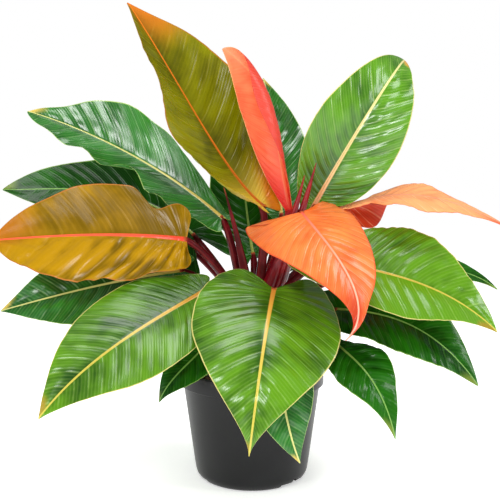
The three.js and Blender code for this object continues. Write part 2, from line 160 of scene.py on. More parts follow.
def round_corners(corners, steps):
    """The line through the corners, each turned into a curve that starts and ends on its sides."""
    line = []
    for index, (radius, height, rounding) in enumerate(corners):
        here = Vector((radius, height))
        if rounding == 0:
            line.append(here)
            continue
        before = Vector(corners[index - 1][:2]) - here
        after = Vector(corners[index + 1][:2]) - here
        reach = min(rounding, before.length / SIDE_PARTS, after.length / SIDE_PARTS)
        start = here + before.normalized() * reach
        end = here + after.normalized() * reach
        for step in range(steps + 1):
            share = step / steps
            line.append(start * (1 - share) ** 2 + here * 2 * share * (1 - share) + end * share ** 2)
    return line


def turn_on_lathe(name, line, sides, height_at=None):
    """A closed mesh from a line of radii and heights in millimetres, turned round the upright axis."""
    form = bmesh.new()
    rings = []
    for radius, height in line:
        ring = []
        for side in range(sides if radius else 1):
            angle = 2 * math.pi * side / sides
            high = height_at(radius, angle, height) if height_at else height
            place = Vector((radius * math.cos(angle), radius * math.sin(angle), high)) * MM
            ring.append(form.verts.new(place))
        rings.append(ring)
    for inner, outer in zip(rings, rings[1:]):
        for side in range(sides):
            after = side + 1
            corners = [inner[side % len(inner)], inner[after % len(inner)]]
            corners += [outer[after % len(outer)], outer[side % len(outer)]]
            form.faces.new(list(dict.fromkeys(corners)))
    bmesh.ops.recalc_face_normals(form, faces=form.faces)
    mesh = bpy.data.meshes.new(name)
    form.to_mesh(mesh)
    form.free()
    return mesh


def bake_modifiers(piece):
    """Gives the piece the plain mesh that its modifiers make, and takes the modifiers off."""
    graph = bpy.context.evaluated_depsgraph_get()
    finished = bpy.data.meshes.new_from_object(
        piece.evaluated_get(graph), preserve_all_data_layers=True, depsgraph=graph)
    piece.modifiers.clear()
    piece.data = finished


class Wire:
    """What a socket of a node tree puts out, so that sums in a tree read as sums."""

    def __init__(self, tree, socket):
        self.tree = tree
        self.socket = socket
        self.is_vector = socket.type == "VECTOR"

    def maths(self, operation, *others):
        values = dict(enumerate((self,) + others))
        if self.is_vector:
            return put(self.tree, "ShaderNodeVectorMath", values, operation=operation)
        return put(self.tree, "ShaderNodeMath", values, operation=operation)

    def __add__(self, other):
        return self.maths("ADD", other)

    def __sub__(self, other):
        return self.maths("SUBTRACT", other)

    def __rsub__(self, other):
        return self * -1 + other

    def __mul__(self, other):
        if self.is_vector:
            values = {0: self, "Scale": other}
            return put(self.tree, "ShaderNodeVectorMath", values, operation="SCALE")
        if isinstance(other, Wire) and other.is_vector:
            return other * self
        return self.maths("MULTIPLY", other)

    def __truediv__(self, other):
        return self.maths("DIVIDE", other)

    def __pow__(self, other):
        return self.maths("POWER", other)

    __radd__ = __add__

    def normalized(self):
        return self.maths("NORMALIZE")

    def cross(self, other):
        return self.maths("CROSS_PRODUCT", other)


def put(tree, kind, values=None, output=0, **settings):
    """Adds a node with these settings and inputs, and gives back what one of its outputs puts out."""
    node = tree.nodes.new(kind)
    for label, value in settings.items():
        setattr(node, label, value)
    for label, value in (values or {}).items():
        if isinstance(value, Wire):
            tree.links.new(value.socket, node.inputs[label])
        else:
            node.inputs[label].default_value = value
    return Wire(tree, node.outputs[output])


def ease(value, low, high):
    """0 below low, 1 above high, and a smooth step between them."""
    values = {"Value": value, "From Min": low, "From Max": high}
    return put(value.tree, "ShaderNodeMapRange", values, interpolation_type="SMOOTHSTEP")


def blend(share, first, second):
    """The first colour where share is 0, the second where it is 1."""
    values = {0: share, 6: first, 7: second}
    return put(share.tree, "ShaderNodeMix", values, output=2, data_type="RGBA")


def axes(vector):
    """What a vector is along X, Y and Z."""
    node = put(vector.tree, "ShaderNodeSeparateXYZ", {0: vector}).socket.node
    return [Wire(vector.tree, socket) for socket in node.outputs]


def new_tree(kind, name, inputs, outputs):
    """A node tree of this kind with these named sockets, as (tree, what each input gives)."""
    tree = bpy.data.node_groups.new(name, kind)
    for way, sockets in (("OUTPUT", outputs), ("INPUT", inputs)):
        for label, sort in sockets.items():
            tree.interface.new_socket(label, in_out=way, socket_type="NodeSocket" + sort)
    given = tree.nodes.new("NodeGroupInput")
    return tree, {label: Wire(tree, given.outputs[label]) for label in inputs}


def end_tree(tree, **values):
    """Ends a tree with what each of its named outputs puts out."""
    node = tree.nodes.new("NodeGroupOutput")
    for label, wire in values.items():
        tree.links.new(wire.socket, node.inputs[label])


grain_group, given = new_tree(
    "ShaderNodeTree", "grain", {"Scale": "Float", "Detail": "Float"}, {"Grain": "Float"})
place = put(grain_group, "ShaderNodeTexCoord", output="Object")
end_tree(grain_group, Grain=put(grain_group, "ShaderNodeTexNoise", {"Vector": place, **given}))


def grain(tree, scale, detail):
    """A cloudy noise from 0 to 1 that stands still on the object, in spots per metre."""
    return put(tree, "ShaderNodeGroup", {"Scale": scale, "Detail": detail}, node_tree=grain_group)


def connect(wire, shader, label):
    wire.tree.links.new(wire.socket, shader.inputs[label])


def connect_bump(height, shader, distance):
    values = {"Height": height, "Distance": distance}
    connect(put(height.tree, "ShaderNodeBump", values), shader, "Normal")


pot = add_piece("nursery_pot", turn_on_lathe(
    "nursery_pot", round_corners(POT_SECTION, CORNER_STEPS), POT_SIDES))
form = bmesh.new()
for angle in FOOT_CUT_ANGLES:
    turned = Matrix.Rotation(math.radians(angle), 4, "Z")
    for wide, deep, high, middle in FOOT_CUTS:
        shift = Matrix.Translation(Vector((0, -FOOT_CUT_RADIUS, middle)) * MM)
        size = Matrix.Diagonal(Vector((wide, deep, high, 1 / MM)) * MM)
        bmesh.ops.create_cube(form, size=1, matrix=turned @ shift @ size)
cutter = add_piece("foot_cutter", bpy.data.meshes.new("foot_cutter"))
form.to_mesh(cutter.data)
form.free()
cut = pot.modifiers.new("foot cuts", "BOOLEAN")
cut.operation = "DIFFERENCE"
cut.solver = "EXACT"
cut.use_self = True
cut.object = cutter
bake_modifiers(pot)
bpy.data.objects.remove(cutter)
for face in pot.data.polygons:
    face.use_smooth = True
pot.data.set_sharp_from_angle(angle=math.radians(POT_CRISP))

pot_plastic, tree, shader = plain_material("charcoal polypropylene", Specular_IOR_Level=0.25)
height = axes(put(tree, "ShaderNodeTexCoord", output="Object"))[2]
cloud = grain(tree, scale=14, detail=4)
speckle = grain(tree, scale=900, detail=2)
body = blend(ease(cloud, 0.35, 0.7), POT_CHARCOAL, POT_CHARCOAL_WORN)
dusty = ease(height, *DUST_HEIGHTS) * ease(grain(tree, scale=60, detail=5), 0.5, 0.75) * 0.5
connect(blend(dusty, body, POT_DUST), shader, "Base Color")
connect(cloud * 0.1 + speckle * 0.06 + 0.28, shader, "Roughness")
connect_bump(speckle + cloud * 2, shader, distance=0.00008)
pot.data.materials.clear()
pot.data.materials.append(pot_plastic)
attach(pot, "root")
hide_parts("pot")

# The compost is dark peat, filled to a little under the rim round the stem, and covered with
# loose chips of pine bark that lie as they fell when it was poured in.
STEM_HOLE = 13.3
SOIL_TOP = 121
SOIL_FOOT = 112
SOIL_DOME = 3
SOIL_EDGE_DROP = 1
SOIL_SIDES = 96
SOIL_RADII = [STEM_HOLE, 16, 20, 25, 30, 35, 40, 45, 50, 55, 60, 64, 68, 72, 76, 79]
SOIL_SECTION = [
    (STEM_HOLE, SOIL_FOOT), *((radius, SOIL_TOP) for radius in SOIL_RADII),
    (81.9, SOIL_TOP - SOIL_EDGE_DROP), (81.9, 115), (78, SOIL_FOOT), (STEM_HOLE, SOIL_FOOT),
]
# The height of the broad and of the fine lumps, and how many there are in a millimetre.
SOIL_LUMPS = [(1.6, 0.06), (0.8, 0.25)]
# Chips lie where the compost faces up at least this much.
CHIP_LEVEL = 0.6
# How far a chip's corners are pushed about, as a share of its size, and how far, in radians, it is
# tilted and turned.
CHIP_DENT = 0.3
CHIP_TILT = 0.5
CHIP_TURN = 6.283
PEAT = (0.020, 0.011, 0.007, 1)
PEAT_DRY = (0.062, 0.034, 0.020, 1)
BARK_DARK = (0.060, 0.026, 0.013, 1)
BARK_RED = (0.190, 0.078, 0.036, 1)
BARK_PALE = (0.330, 0.190, 0.105, 1)


def rough_height(radius, angle, height):
    """The compost's height where the level would be at height, with its dome and its lumps."""
    if height < SOIL_TOP - SOIL_EDGE_DROP:
        return height
    rough = height + SOIL_DOME * math.cos(math.pi / 2 * radius / RIM_RADIUS)
    place = Vector((radius * math.cos(angle), radius * math.sin(angle), 0))
    for high, close in SOIL_LUMPS:
        rough += high * noise.noise(place * close)
    return rough


def new_form(name, inputs):
    """A Geometry Nodes tree with these named inputs, as (tree, what each input gives)."""
    return new_tree("GeometryNodeTree", name, inputs, {"Geometry": "Geometry"})


def join(first, second):
    node = first.tree.nodes.new("GeometryNodeJoinGeometry")
    for geometry in (first, second):
        first.tree.links.new(geometry.socket, node.inputs[0])
    return Wire(first.tree, node.outputs[0])


def store(geometry, label, value, domain):
    """The geometry with a named attribute that its material or a later node reads."""
    kind = "FLOAT_VECTOR" if isinstance(value, Wire) and value.is_vector else "FLOAT"
    values = {"Geometry": geometry, "Name": label, "Value": value}
    return put(geometry.tree, "GeometryNodeStoreNamedAttribute", values, data_type=kind, domain=domain)


def attribute(tree, label, output="Fac"):
    return put(tree, "ShaderNodeAttribute", output=output, attribute_name=label)


def chance(tree, low, high, seed, kind="FLOAT"):
    """A random value between low and high for each point or instance."""
    first, output = {"FLOAT": (2, 1), "FLOAT_VECTOR": (0, 0)}[kind]
    values = {first: low, first + 1: high, "Seed": seed}
    return put(tree, "FunctionNodeRandomValue", values, output=output, data_type=kind)


def end_form(geometry, material):
    """Ends a Geometry Nodes tree with Realize Instances and Set Material."""
    plain = put(geometry.tree, "GeometryNodeRealizeInstances", {"Geometry": geometry})
    dressed = put(geometry.tree, "GeometryNodeSetMaterial", {"Geometry": plain, "Material": material})
    end_tree(geometry.tree, Geometry=dressed)


def grow(name, tree, values, base=None):
    """A piece with the plain mesh that the tree makes from these values."""
    piece = add_piece(name, base or bpy.data.meshes.new(name))
    modifier = piece.modifiers.new("form", "NODES")
    modifier.node_group = tree
    for label, value in values.items():
        modifier[tree.interface.items_tree[label].identifier] = value
    bake_modifiers(piece)
    return piece


soil_mesh = turn_on_lathe("compost", SOIL_SECTION, SOIL_SIDES, rough_height)
form = bmesh.new()
form.from_mesh(soil_mesh)
bmesh.ops.remove_doubles(form, verts=form.verts, dist=1e-6)
bmesh.ops.recalc_face_normals(form, faces=form.faces)
form.to_mesh(soil_mesh)
form.free()

chips_tree, given = new_form("bark chips", {
    "Bed": "Geometry", "Spacing": "Float", "Density": "Float", "Smallest": "Vector",
    "Largest": "Vector", "Seed": "Int", "Material": "Material"})
tree = chips_tree
bed, seed = given["Bed"], given["Seed"]
upwards = axes(put(tree, "GeometryNodeInputNormal"))[2]
points = put(tree, "GeometryNodeDistributePointsOnFaces", {
    "Mesh": bed, "Distance Min": given["Spacing"], "Density Max": given["Density"], "Seed": seed,
    "Selection": upwards.maths("GREATER_THAN", CHIP_LEVEL)},
    output="Points", distribute_method="POISSON")
lump = put(tree, "GeometryNodeMeshIcoSphere", {"Radius": 1.0, "Subdivisions": 1})
dent = chance(tree, (-CHIP_DENT,) * 3, (CHIP_DENT,) * 3, 5, "FLOAT_VECTOR")
lump = put(tree, "GeometryNodeSetPosition", {"Geometry": lump, "Offset": dent})
turn = chance(tree, (-CHIP_TILT, -CHIP_TILT, 0), (CHIP_TILT, CHIP_TILT, CHIP_TURN), seed + 1,
              "FLOAT_VECTOR")
turn = put(tree, "FunctionNodeEulerToRotation", {0: turn})
size = chance(tree, given["Smallest"], given["Largest"], seed + 2, "FLOAT_VECTOR")
chips = put(tree, "GeometryNodeInstanceOnPoints", {
    "Points": points, "Instance": lump, "Rotation": turn, "Scale": size})
chips = store(chips, "shade", chance(tree, 0.0, 1.0, seed + 3), "INSTANCE")
end_form(join(chips, bed), given["Material"])

compost_bark, tree, shader = plain_material("bark compost", Roughness=0.85)
shade = attribute(tree, "shade")
fine = grain(tree, scale=420, detail=5)
streak = grain(tree, scale=150, detail=3)
bark = blend(ease(shade + (streak - 0.5) * 0.5, 0.2, 0.8), BARK_DARK, BARK_RED)
bark = blend(ease(shade + (streak - 0.5) * 0.6, 0.85, 1.1), bark, BARK_PALE)
peat = blend(ease(fine, 0.4, 0.75), PEAT, PEAT_DRY)
connect(blend(ease(shade, 0.0, 0.02), peat, bark), shader, "Base Color")
connect_bump(fine + streak, shader, distance=0.0006)

compost = grow("bark_compost", chips_tree, base=soil_mesh, values={
    "Spacing": 0.0034, "Density": 60000.0, "Smallest": (0.0018, 0.0012, 0.0006),
    "Largest": (0.0062, 0.0034, 0.0018), "Seed": 4, "Material": compost_bark})
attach(compost, "root")
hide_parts("soil")

# The stem is short, stout and ringed with the scars of old leaves, and narrows to the crown.
# Every leaf stalk leaves it there. A stalk is round with a flat upper side, about 13 mm thick at
# its root, smooth and deep maroon, with a paler line along its flat and an orange-red neck.
STALK_SIDES = 16
STALK_STEPS = 40
STALK_MAROON = (0.120, 0.002, 0.006, 1)
STALK_DARK = (0.040, 0.001, 0.002, 1)
STALK_EDGE = (0.30, 0.040, 0.035, 1)
STALK_THROAT = (0.42, 0.085, 0.030, 1)
STEM_BARK = (0.070, 0.040, 0.022, 1)
STEM_GREEN = (0.060, 0.075, 0.025, 1)
# How far a scar stands out from the stem, as a share of its radius.
SCAR_HEIGHT = 0.06


def capture(geometry, label, value):
    """Keeps a value on a curve for later nodes, as (the curve, the kept value)."""
    curve = put(geometry.tree, "GeometryNodeCaptureAttribute", {"Geometry": geometry})
    node = curve.socket.node
    node.capture_items.new("FLOAT", label)
    geometry.tree.links.new(value.socket, node.inputs[label])
    return curve, Wire(geometry.tree, node.outputs[label])


stalk_tree, given = new_form("stalk", {
    "Root": "Vector", "First handle": "Vector", "Second handle": "Vector", "End": "Vector",
    "Root radius": "Float", "End radius": "Float", "Taper": "Float", "Flatness": "Float",
    "Ring count": "Float", "Ring height": "Float", "Sides": "Int", "Steps": "Int",
    "Material": "Material"})
tree = stalk_tree
path = put(tree, "GeometryNodeCurvePrimitiveBezierSegment", {
    "Resolution": given["Steps"], "Start": given["Root"], "Start Handle": given["First handle"],
    "End Handle": given["Second handle"], "End": given["End"]})
share = put(tree, "GeometryNodeSplineParameter")
path, share_along = capture(path, "Share", share)
ring = (share * given["Ring count"]).maths("PINGPONG", 0.5)
swell = 1 + ease(ring, 0.1, 0.0) * given["Ring height"]
extra = given["Root radius"] - given["End radius"]
thick = given["End radius"] + extra * (1 - share) ** given["Taper"]
outline = put(tree, "GeometryNodeCurvePrimitiveCircle", {"Resolution": given["Sides"], "Radius": 1.0})
x, y, _ = axes(put(tree, "GeometryNodeInputPosition"))
flat_y = y.maths("MINIMUM", 1 - given["Flatness"])
outline = put(tree, "GeometryNodeSetPosition", {
    "Geometry": outline, "Position": put(tree, "ShaderNodeCombineXYZ", {0: x, 1: flat_y})})
outline, around = capture(outline, "Around", y)
tube = put(tree, "GeometryNodeCurveToMesh", {
    "Curve": path, "Profile Curve": outline, "Scale": thick * swell, "Fill Caps": True})
for label, wire in {"share": share_along, "around": around}.items():
    tube = store(tube, label, wire, "POINT")
tube = put(tree, "GeometryNodeSetShadeSmooth", {"Geometry": tube})
end_form(tube, given["Material"])

stalk_skin, tree, shader = plain_material("maroon stalk", Specular_IOR_Level=0.1)
share, around = attribute(tree, "share"), attribute(tree, "around")
cloud = grain(tree, scale=45, detail=4)
skin = blend(ease(cloud, 0.3, 0.7), STALK_DARK, STALK_MAROON)
edge_line = ease(around, 0.25, 0.5) * ease(around, 0.85, 0.6)
skin = blend(edge_line * 0.3, skin, STALK_EDGE)
skin = blend(ease(share, 0.93, 1.0), skin, STALK_THROAT)
connect(skin, shader, "Base Color")
connect(cloud * 0.15 + 0.2, shader, "Roughness")
connect_bump(grain(tree, scale=300, detail=3), shader, distance=0.00015)

stem_skin, tree, shader = plain_material("ringed stem", Roughness=0.6)
cloud = grain(tree, scale=90, detail=5)
connect(blend(ease(cloud, 0.35, 0.65), STEM_BARK, STEM_GREEN), shader, "Base Color")
connect_bump(grain(tree, scale=350, detail=4), shader, distance=0.0004)


def grow_stalk(name, points, radii, taper=1.0, flatness=0.25, rings=0.0, material=stalk_skin):
    labels = ["Root", "First handle", "Second handle", "End"]
    values = {label: Vector(point) * MM for label, point in zip(labels, points)}
    values.update({
        "Root radius": radii[0] * MM, "End radius": radii[1] * MM, "Taper": float(taper),
        "Flatness": float(flatness), "Ring count": float(rings),
        "Ring height": SCAR_HEIGHT if rings else 0.0, "Sides": STALK_SIDES,
        "Steps": STALK_STEPS, "Material": material})
    stalk = grow(name, stalk_tree, values)
    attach(stalk, "root")
    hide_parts("stem_and_stalks")


grow_stalk("stem", [(0, 0, 62), (0, 0, 110), (2, 0, 160), (3, 0, 216)], radii=(13, 7.3), taper=0.8,
           flatness=0, rings=9, material=stem_skin)

# A new leaf comes out of a long pointed sheath. Three stand beside the newest leaf: the left one
# is slim and maroon as the stalks are, and the other two are thicker and red.
SHEATH_TIP_RADIUS = 0.4
SHEATH_RED = (0.30, 0.008, 0.012, 1)
SHEATH_DARK = (0.14, 0.003, 0.008, 1)
sheath_skin, tree, shader = plain_material("red sheath", Specular_IOR_Level=0.3, Roughness=0.25)
cloud = grain(tree, scale=60, detail=4)
connect(blend(ease(cloud, 0.3, 0.7), SHEATH_DARK, SHEATH_RED), shader, "Base Color")
connect_bump(grain(tree, scale=300, detail=3), shader, distance=0.00015)

# Name, radius at the root, skin, and the places of the root, the middle handle and the tip.
SHEATHS = [
    ("sheath_left", 9, stalk_skin, (0, -8, 185), (-5, -34, 250), (-31, -45, 340)),
    ("sheath_middle", 14, sheath_skin, (10, -6, 190), (38, -30, 270), (58, -50, 353)),
    ("sheath_right", 14, sheath_skin, (14, -2, 188), (46, -28, 270), (71, -48, 367)),
]
for name, radius, skin, *places in SHEATHS:
    root, middle, tip = map(Vector, places)
    grow_stalk(name, [root, root.lerp(middle, 2 / 3), tip.lerp(middle, 2 / 3), tip],
               radii=(radius, SHEATH_TIP_RADIUS), taper=0.7, flatness=0.2, material=skin)

# A leaf blade is a thin glossy sheet on a stout midrib that its stalk runs into. The side veins
# leave the midrib at a slant and curve to the margin, and the blade swells a little between them.
# Its upper side has a low ridge along the midrib, and its under side a round keel.
BLADE_ROWS = 121
BLADE_COLUMNS = 45
RIB_STEPS = 100
# Widths and thicknesses are in metres here, and places along the leaf are shares of its length.
BASE_HALF_WIDTH = 0.0036
TIP_HALF_WIDTH = 0.0004
TIP_TAPER = 5
# Where a base lobe reaches furthest back.
LOBE_REACH = 0.07
# Where a side vein leaves the midrib and meets the margin, and how it bends between the two.
VEIN_ROOT_POWER = 2.2
EDGE_POWER = 1.3
VEIN_SWEEP = 1.25
NOTCH_SPAN = 0.09
# Where the extra fold at the base fades out.
BASE_FADE = (0.15, 0.45)
# How far the waves of the right half are ahead of the left half's, in waves.
WAVE_SHIFT = 0.37
SKIN_HALF = 0.00042
# Half width, thinning towards the tip, and height of the ridge and of the keel.
RIDGE = (0.0019, 0.85, 0.0008)
KEEL = (0.0045, 0.9, 0.0032)
# A curl in degrees that looks flat, because the sheet is bent round a radius and can't be quite flat.
FLAT_CURL = 0.5
# The numbers of a leaf's base place are summed and divided by this to seed its noise.
SEED_PARTS = 50
# A stalk leaves the crown at a height that follows the height of its leaf, and bends out to it.
CROWN = Vector((3, 0, 0))
STALK_ROOT_HEIGHTS = (132, 190)
LEAF_HEIGHTS = (160, 320)
STALK_RING = 5
STALK_LEAN = 0.35
STALK_RUN = 0.35
STALK_BEND = 16
# How far it runs into the blade along the midrib and lies below the sheet.
STALK_OVERLAP = 3
STALK_DROP = 2
HALVES = ("right", "left")
RIB_POINTS = ("Base", "First handle", "Second handle", "Tip")
BLADE_VALUES = ("Length", "Twist", "Half width", "Point", "Wave count", "Wave start", "Vein count", "Seed")
HALF_VALUES = ("Widest", "Fullness", "Lobe", "Fold", "Base fold", "Curl", "Wave", "Pleat",
               "Notch place", "Notch depth", "Tint")


def bezier(points, share):
    """The place on a cubic curve at a share along it, and the way it runs there."""
    a, b, c, d = points
    rest = 1 - share
    place = a * (rest * rest * rest) + b * (rest * rest * share * 3)
    place = place + c * (rest * share * share * 3) + d * (share * share * share)
    way = (b - a) * (rest * rest) + (c - b) * (rest * share * 2) + (d - c) * (share * share)
    return place, way.normalized()


blade_inputs = dict.fromkeys((*RIB_POINTS, "Face"), "Vector")
blade_inputs.update(dict.fromkeys(BLADE_VALUES, "Float"))
blade_inputs.update({f"{label} {side}": "Float" for label in HALF_VALUES for side in HALVES})
blade_inputs.update({"Rows": "Int", "Columns": "Int", "Material": "Material"})
blade_tree, given = new_form("leaf blade", blade_inputs)
tree = blade_tree
grid = put(tree, "GeometryNodeMeshGrid", {
    "Size X": 1.0, "Size Y": 1.0, "Vertices X": given["Rows"], "Vertices Y": given["Columns"]})
upper = store(put(tree, "GeometryNodeFlipFaces", {0: grid}), "under", 0.0, "CORNER")
under = store(grid, "under", 1.0, "CORNER")
sheet = join(upper, under)

x, y, _ = axes(put(tree, "GeometryNodeInputPosition"))
row = x + 0.5
column = y * 2
along = 0.5 - (row * math.pi).maths("COSINE") * 0.5
near = ease(column.maths("ABSOLUTE"), 0.0, 1.0)
is_right = column.maths("GREATER_THAN", -1e-5)
side = is_right * 2 - 1


def half(label):
    """The value of the half that a place is on."""
    return given[label + " left"] + (given[label + " right"] - given[label + " left"]) * is_right


width = given["Half width"]
seed_place = put(tree, "ShaderNodeCombineXYZ", {0: along, 1: side * near * 0.2, 2: given["Seed"]})


def leaf_noise(scale, detail):
    """A noise from 0 to 1 that is different on each leaf."""
    return put(tree, "ShaderNodeTexNoise", {"Vector": seed_place, "Scale": scale, "Detail": detail})


ragged = leaf_noise(scale=9.0, detail=2.0) - 0.5
taper = (1 - along ** TIP_TAPER) ** given["Point"]
broad = (along ** half("Widest") * math.pi).maths("SINE").maths("MAXIMUM", 0.0)
broad = broad ** half("Fullness") * taper
notch = ((along - half("Notch place")) / NOTCH_SPAN) ** 2 * -1
notch = 1 - half("Notch depth") * notch.maths("EXPONENT")
edge = (1 - along) * BASE_HALF_WIDTH + TIP_HALF_WIDTH + width * broad * notch * (1 + ragged * 0.05)
lobe = half("Lobe") * (along / LOBE_REACH) * (1 - along / LOBE_REACH).maths("EXPONENT")
root_place = along ** VEIN_ROOT_POWER
edge_place = along ** EDGE_POWER - lobe
spot = root_place + (edge_place - root_place) * near ** VEIN_SWEEP
on_rib = spot.maths("MAXIMUM", 0.0).maths("MINIMUM", 1.0)
centre, forward = bezier([given[label] for label in RIB_POINTS], on_rib)
centre = centre + forward * ((spot - on_rib) * given["Length"])
right = forward.cross(given["Face"]).normalized()
right = put(tree, "ShaderNodeVectorRotate", {
    "Vector": right, "Axis": forward, "Angle": given["Twist"] * on_rib}, rotation_type="AXIS_ANGLE")
up = right.cross(forward)

reach = edge * near
curl = half("Curl")
fold = half("Fold") + half("Base fold") * (1 - ease(along, *BASE_FADE))
turn = curl * reach / width
radius = width / curl
out = radius * turn.maths("SINE")
lift = radius * (1 - turn.maths("COSINE"))
phase = given["Wave count"] * along + given["Wave start"] + is_right * WAVE_SHIFT
wave = half("Wave") * (reach / width) ** 2 * (phase * 2 * math.pi).maths("SINE")
sideways = side * (out * fold.maths("COSINE") - lift * fold.maths("SINE"))
upwards = out * fold.maths("SINE") + lift * fold.maths("COSINE") + wave
normal = up * (fold + turn).maths("COSINE") - right * (side * (fold + turn).maths("SINE"))

veins = along * given["Vein count"] + is_right * 0.5 + 0.25
swell = ((veins * math.pi).maths("SINE") ** 2 + 0.04).maths("SQRT") - 0.6
calm = ease(near, 0.02, 0.22) * (1 - ease(near, 0.75, 1.0) * 0.5) * ease(along, 0.0, 0.2)
calm = calm * ease(along, 1.0, 0.8) * ease(edge, 0.004, 0.025)
uneven = leaf_noise(scale=11.0, detail=1.0) * 5 - 1.5
buckle = (leaf_noise(scale=6.5, detail=1.0) - 0.5) * ease(near, 0.0, 0.5) * ease(edge, 0.0, 0.03) * 6
relief = half("Pleat") * (swell * calm * uneven.maths("MAXIMUM", 0.15) + buckle)
is_under = put(tree, "GeometryNodeInputNamedAttribute", {"Name": "under"}, data_type="FLOAT")
closed = row.maths("GREATER_THAN", 1e-4) * row.maths("LESS_THAN", 0.9999)
skin_half = (1 - near ** 8).maths("MAXIMUM", 0.0).maths("SQRT") * SKIN_HALF * closed


def along_rib(half_width, thinning, height):
    """How far the midrib stands out of the sheet."""
    round_form = (1 - (reach / half_width) ** 2).maths("MAXIMUM", 0.0)
    return round_form * (1 - along * thinning) * height * closed


rise = relief + (skin_half + along_rib(*RIDGE)) * (1 - is_under)
rise = rise - (skin_half + along_rib(*KEEL)) * is_under
point = centre + right * sideways + up * upwards + normal * rise

spread = {"place": put(tree, "ShaderNodeCombineXYZ", {0: along, 1: side * near, 2: veins}),
          "reach": reach, "tone_and_shade": half("Tint"), "swell": relief / MM}
for label, wire in spread.items():
    sheet = store(sheet, label, wire, "CORNER")
sheet = put(tree, "GeometryNodeSetPosition", {"Geometry": sheet, "Position": point})
sheet = put(tree, "GeometryNodeMergeByDistance", {"Geometry": sheet, "Distance": 1e-6})
sheet = put(tree, "GeometryNodeSetShadeSmooth", {"Geometry": sheet})
end_form(sheet, given["Material"])

# One shader group draws the skin of every leaf from its colours and these values: the blade's two
# shades, veins, the lobes at its base, tip, margin, midrib and, seen from below, its under side.
LEAF_COLOURS = ("Deep", "Light", "Vein", "Margin", "Rib", "Rib at stalk", "Tip", "Base", "Lobe", "Under")
# One of these paints shade into the furrows between the veins: how much darker the blade gets for each
# millimetre of depth.
LEAF_USUAL = {"vein_strength": 0.2, "furrow": 0.1, "margin_width": 0.03, "tip_start": 0.86,
              "base_reach": 0.12, "rib_width": 1}


def socket_name(label):
    return label.replace("_", " ").capitalize()


leaf_inputs = dict.fromkeys(LEAF_COLOURS, "Color")
leaf_inputs.update({socket_name(label): "Float" for label in LEAF_USUAL})
leaf_surface, paint = new_tree("ShaderNodeTree", "leaf surface", leaf_inputs,
                               {"Color": "Color", "Roughness": "Float", "Height": "Float"})
tree = leaf_surface
along, across, veins = axes(attribute(tree, "place", output="Vector"))
away = across.maths("ABSOLUTE")
reach, is_under, tone_and_shade, swell = (attribute(tree, label) for label in ("reach", "under", "tone_and_shade", "swell"))
cloud = grain(tree, scale=22, detail=3)
fleck = grain(tree, scale=260, detail=4)
along_vein = put(tree, "ShaderNodeCombineXYZ", {0: veins, 1: away * 0.7, 2: across.maths("SIGN") * 9})
streak = put(tree, "ShaderNodeTexNoise", {"Vector": along_vein, "Scale": 2.0, "Detail": 2.5})
vein_line = ease(veins.maths("PINGPONG", 0.5), 0.11, 0.02) * ease(away, 0.0, 0.06)
vein_line = vein_line * ease(streak, 0.35, 0.6)
hair_line = ease((veins * 4).maths("PINGPONG", 0.5), 0.35, 0.0) * ease(away, 0.02, 0.2)
# The blade's shade mixes its own cloudy tone with painted light and shade. Each half is painted lighter or
# darker, partly for its own tone and partly as light falls on it, and the furrows are painted darker the
# deeper they are.
shade = tone_and_shade + (cloud - 0.5) * 1.5 + (streak - 0.5) * 0.7 + away * 0.2 + swell * paint["Furrow"]
leaf = blend(ease(shade, -0.4, 0.5), paint["Deep"], paint["Light"])
leaf = blend(hair_line * 0.08, leaf, paint["Vein"])
leaf = blend(vein_line * paint["Vein strength"], leaf, paint["Vein"])
base = blend(ease(across, 0.1, 0.6), paint["Base"], paint["Lobe"])
at_base = ease(along + away * 0.1, paint["Base reach"], paint["Base reach"] * 0.35)
leaf = blend(at_base, leaf, base)
at_tip = ease(along + (cloud - 0.5) * 0.1 + across * 0.06, paint["Tip start"], 1.02)
leaf = blend(at_tip, leaf, paint["Tip"])
at_margin = ease(away, 1 - paint["Margin width"], 1 - paint["Margin width"] * 0.5)
leaf = blend(at_margin, leaf, paint["Margin"])
rib_width = (0.0030 - along * 0.0021) * paint["Rib width"]
rib = blend(ease(along, 0.1, 0.9), paint["Rib at stalk"], paint["Rib"])
leaf = blend(ease(reach, rib_width * 1.25, rib_width * 0.75), leaf, rib)
under = blend(vein_line * paint["Vein strength"] + hair_line * 0.05, paint["Under"], paint["Vein"])
under = blend(at_base, under, base)
under = blend(ease(reach, 0.005, 0.0025), under, rib)
leaf = blend(is_under, leaf, under)
rough = 0.16 + streak * 0.14 + is_under * 0.12 + vein_line * 0.06
relief = hair_line * -0.12 - vein_line * 0.4 + fleck * 0.02 + streak * 0.5
relief = relief * (1 - ease(along, 0.75, 1.0) * 0.7)
end_tree(tree, Color=leaf, Roughness=rough, Height=relief)


def colour(code):
    """The linear colour of a six-digit hexadecimal code."""
    values = [int(code[start:start + 2], 16) / 255 for start in (0, 2, 4)]
    return tuple(v / 12.92 if v <= 0.04045 else ((v + 0.055) / 1.055) ** 2.4 for v in values)


def leaf_material(name, gloss=0.5, **finish):
    """A leaf skin with a colour code for each of LEAF_COLOURS, and values that replace LEAF_USUAL."""
    material, tree, shader = plain_material(name, Specular_IOR_Level=gloss)
    node = tree.nodes.new("ShaderNodeGroup")
    node.node_tree = leaf_surface
    for label, value in {**LEAF_USUAL, **finish}.items():
        socket = node.inputs[socket_name(label)]
        socket.default_value = (*colour(value), 1) if isinstance(value, str) else value
    connect(Wire(tree, node.outputs["Color"]), shader, "Base Color")
    connect(Wire(tree, node.outputs["Roughness"]), shader, "Roughness")
    connect_bump(Wire(tree, node.outputs["Height"]), shader, distance=0.0004)
    return material
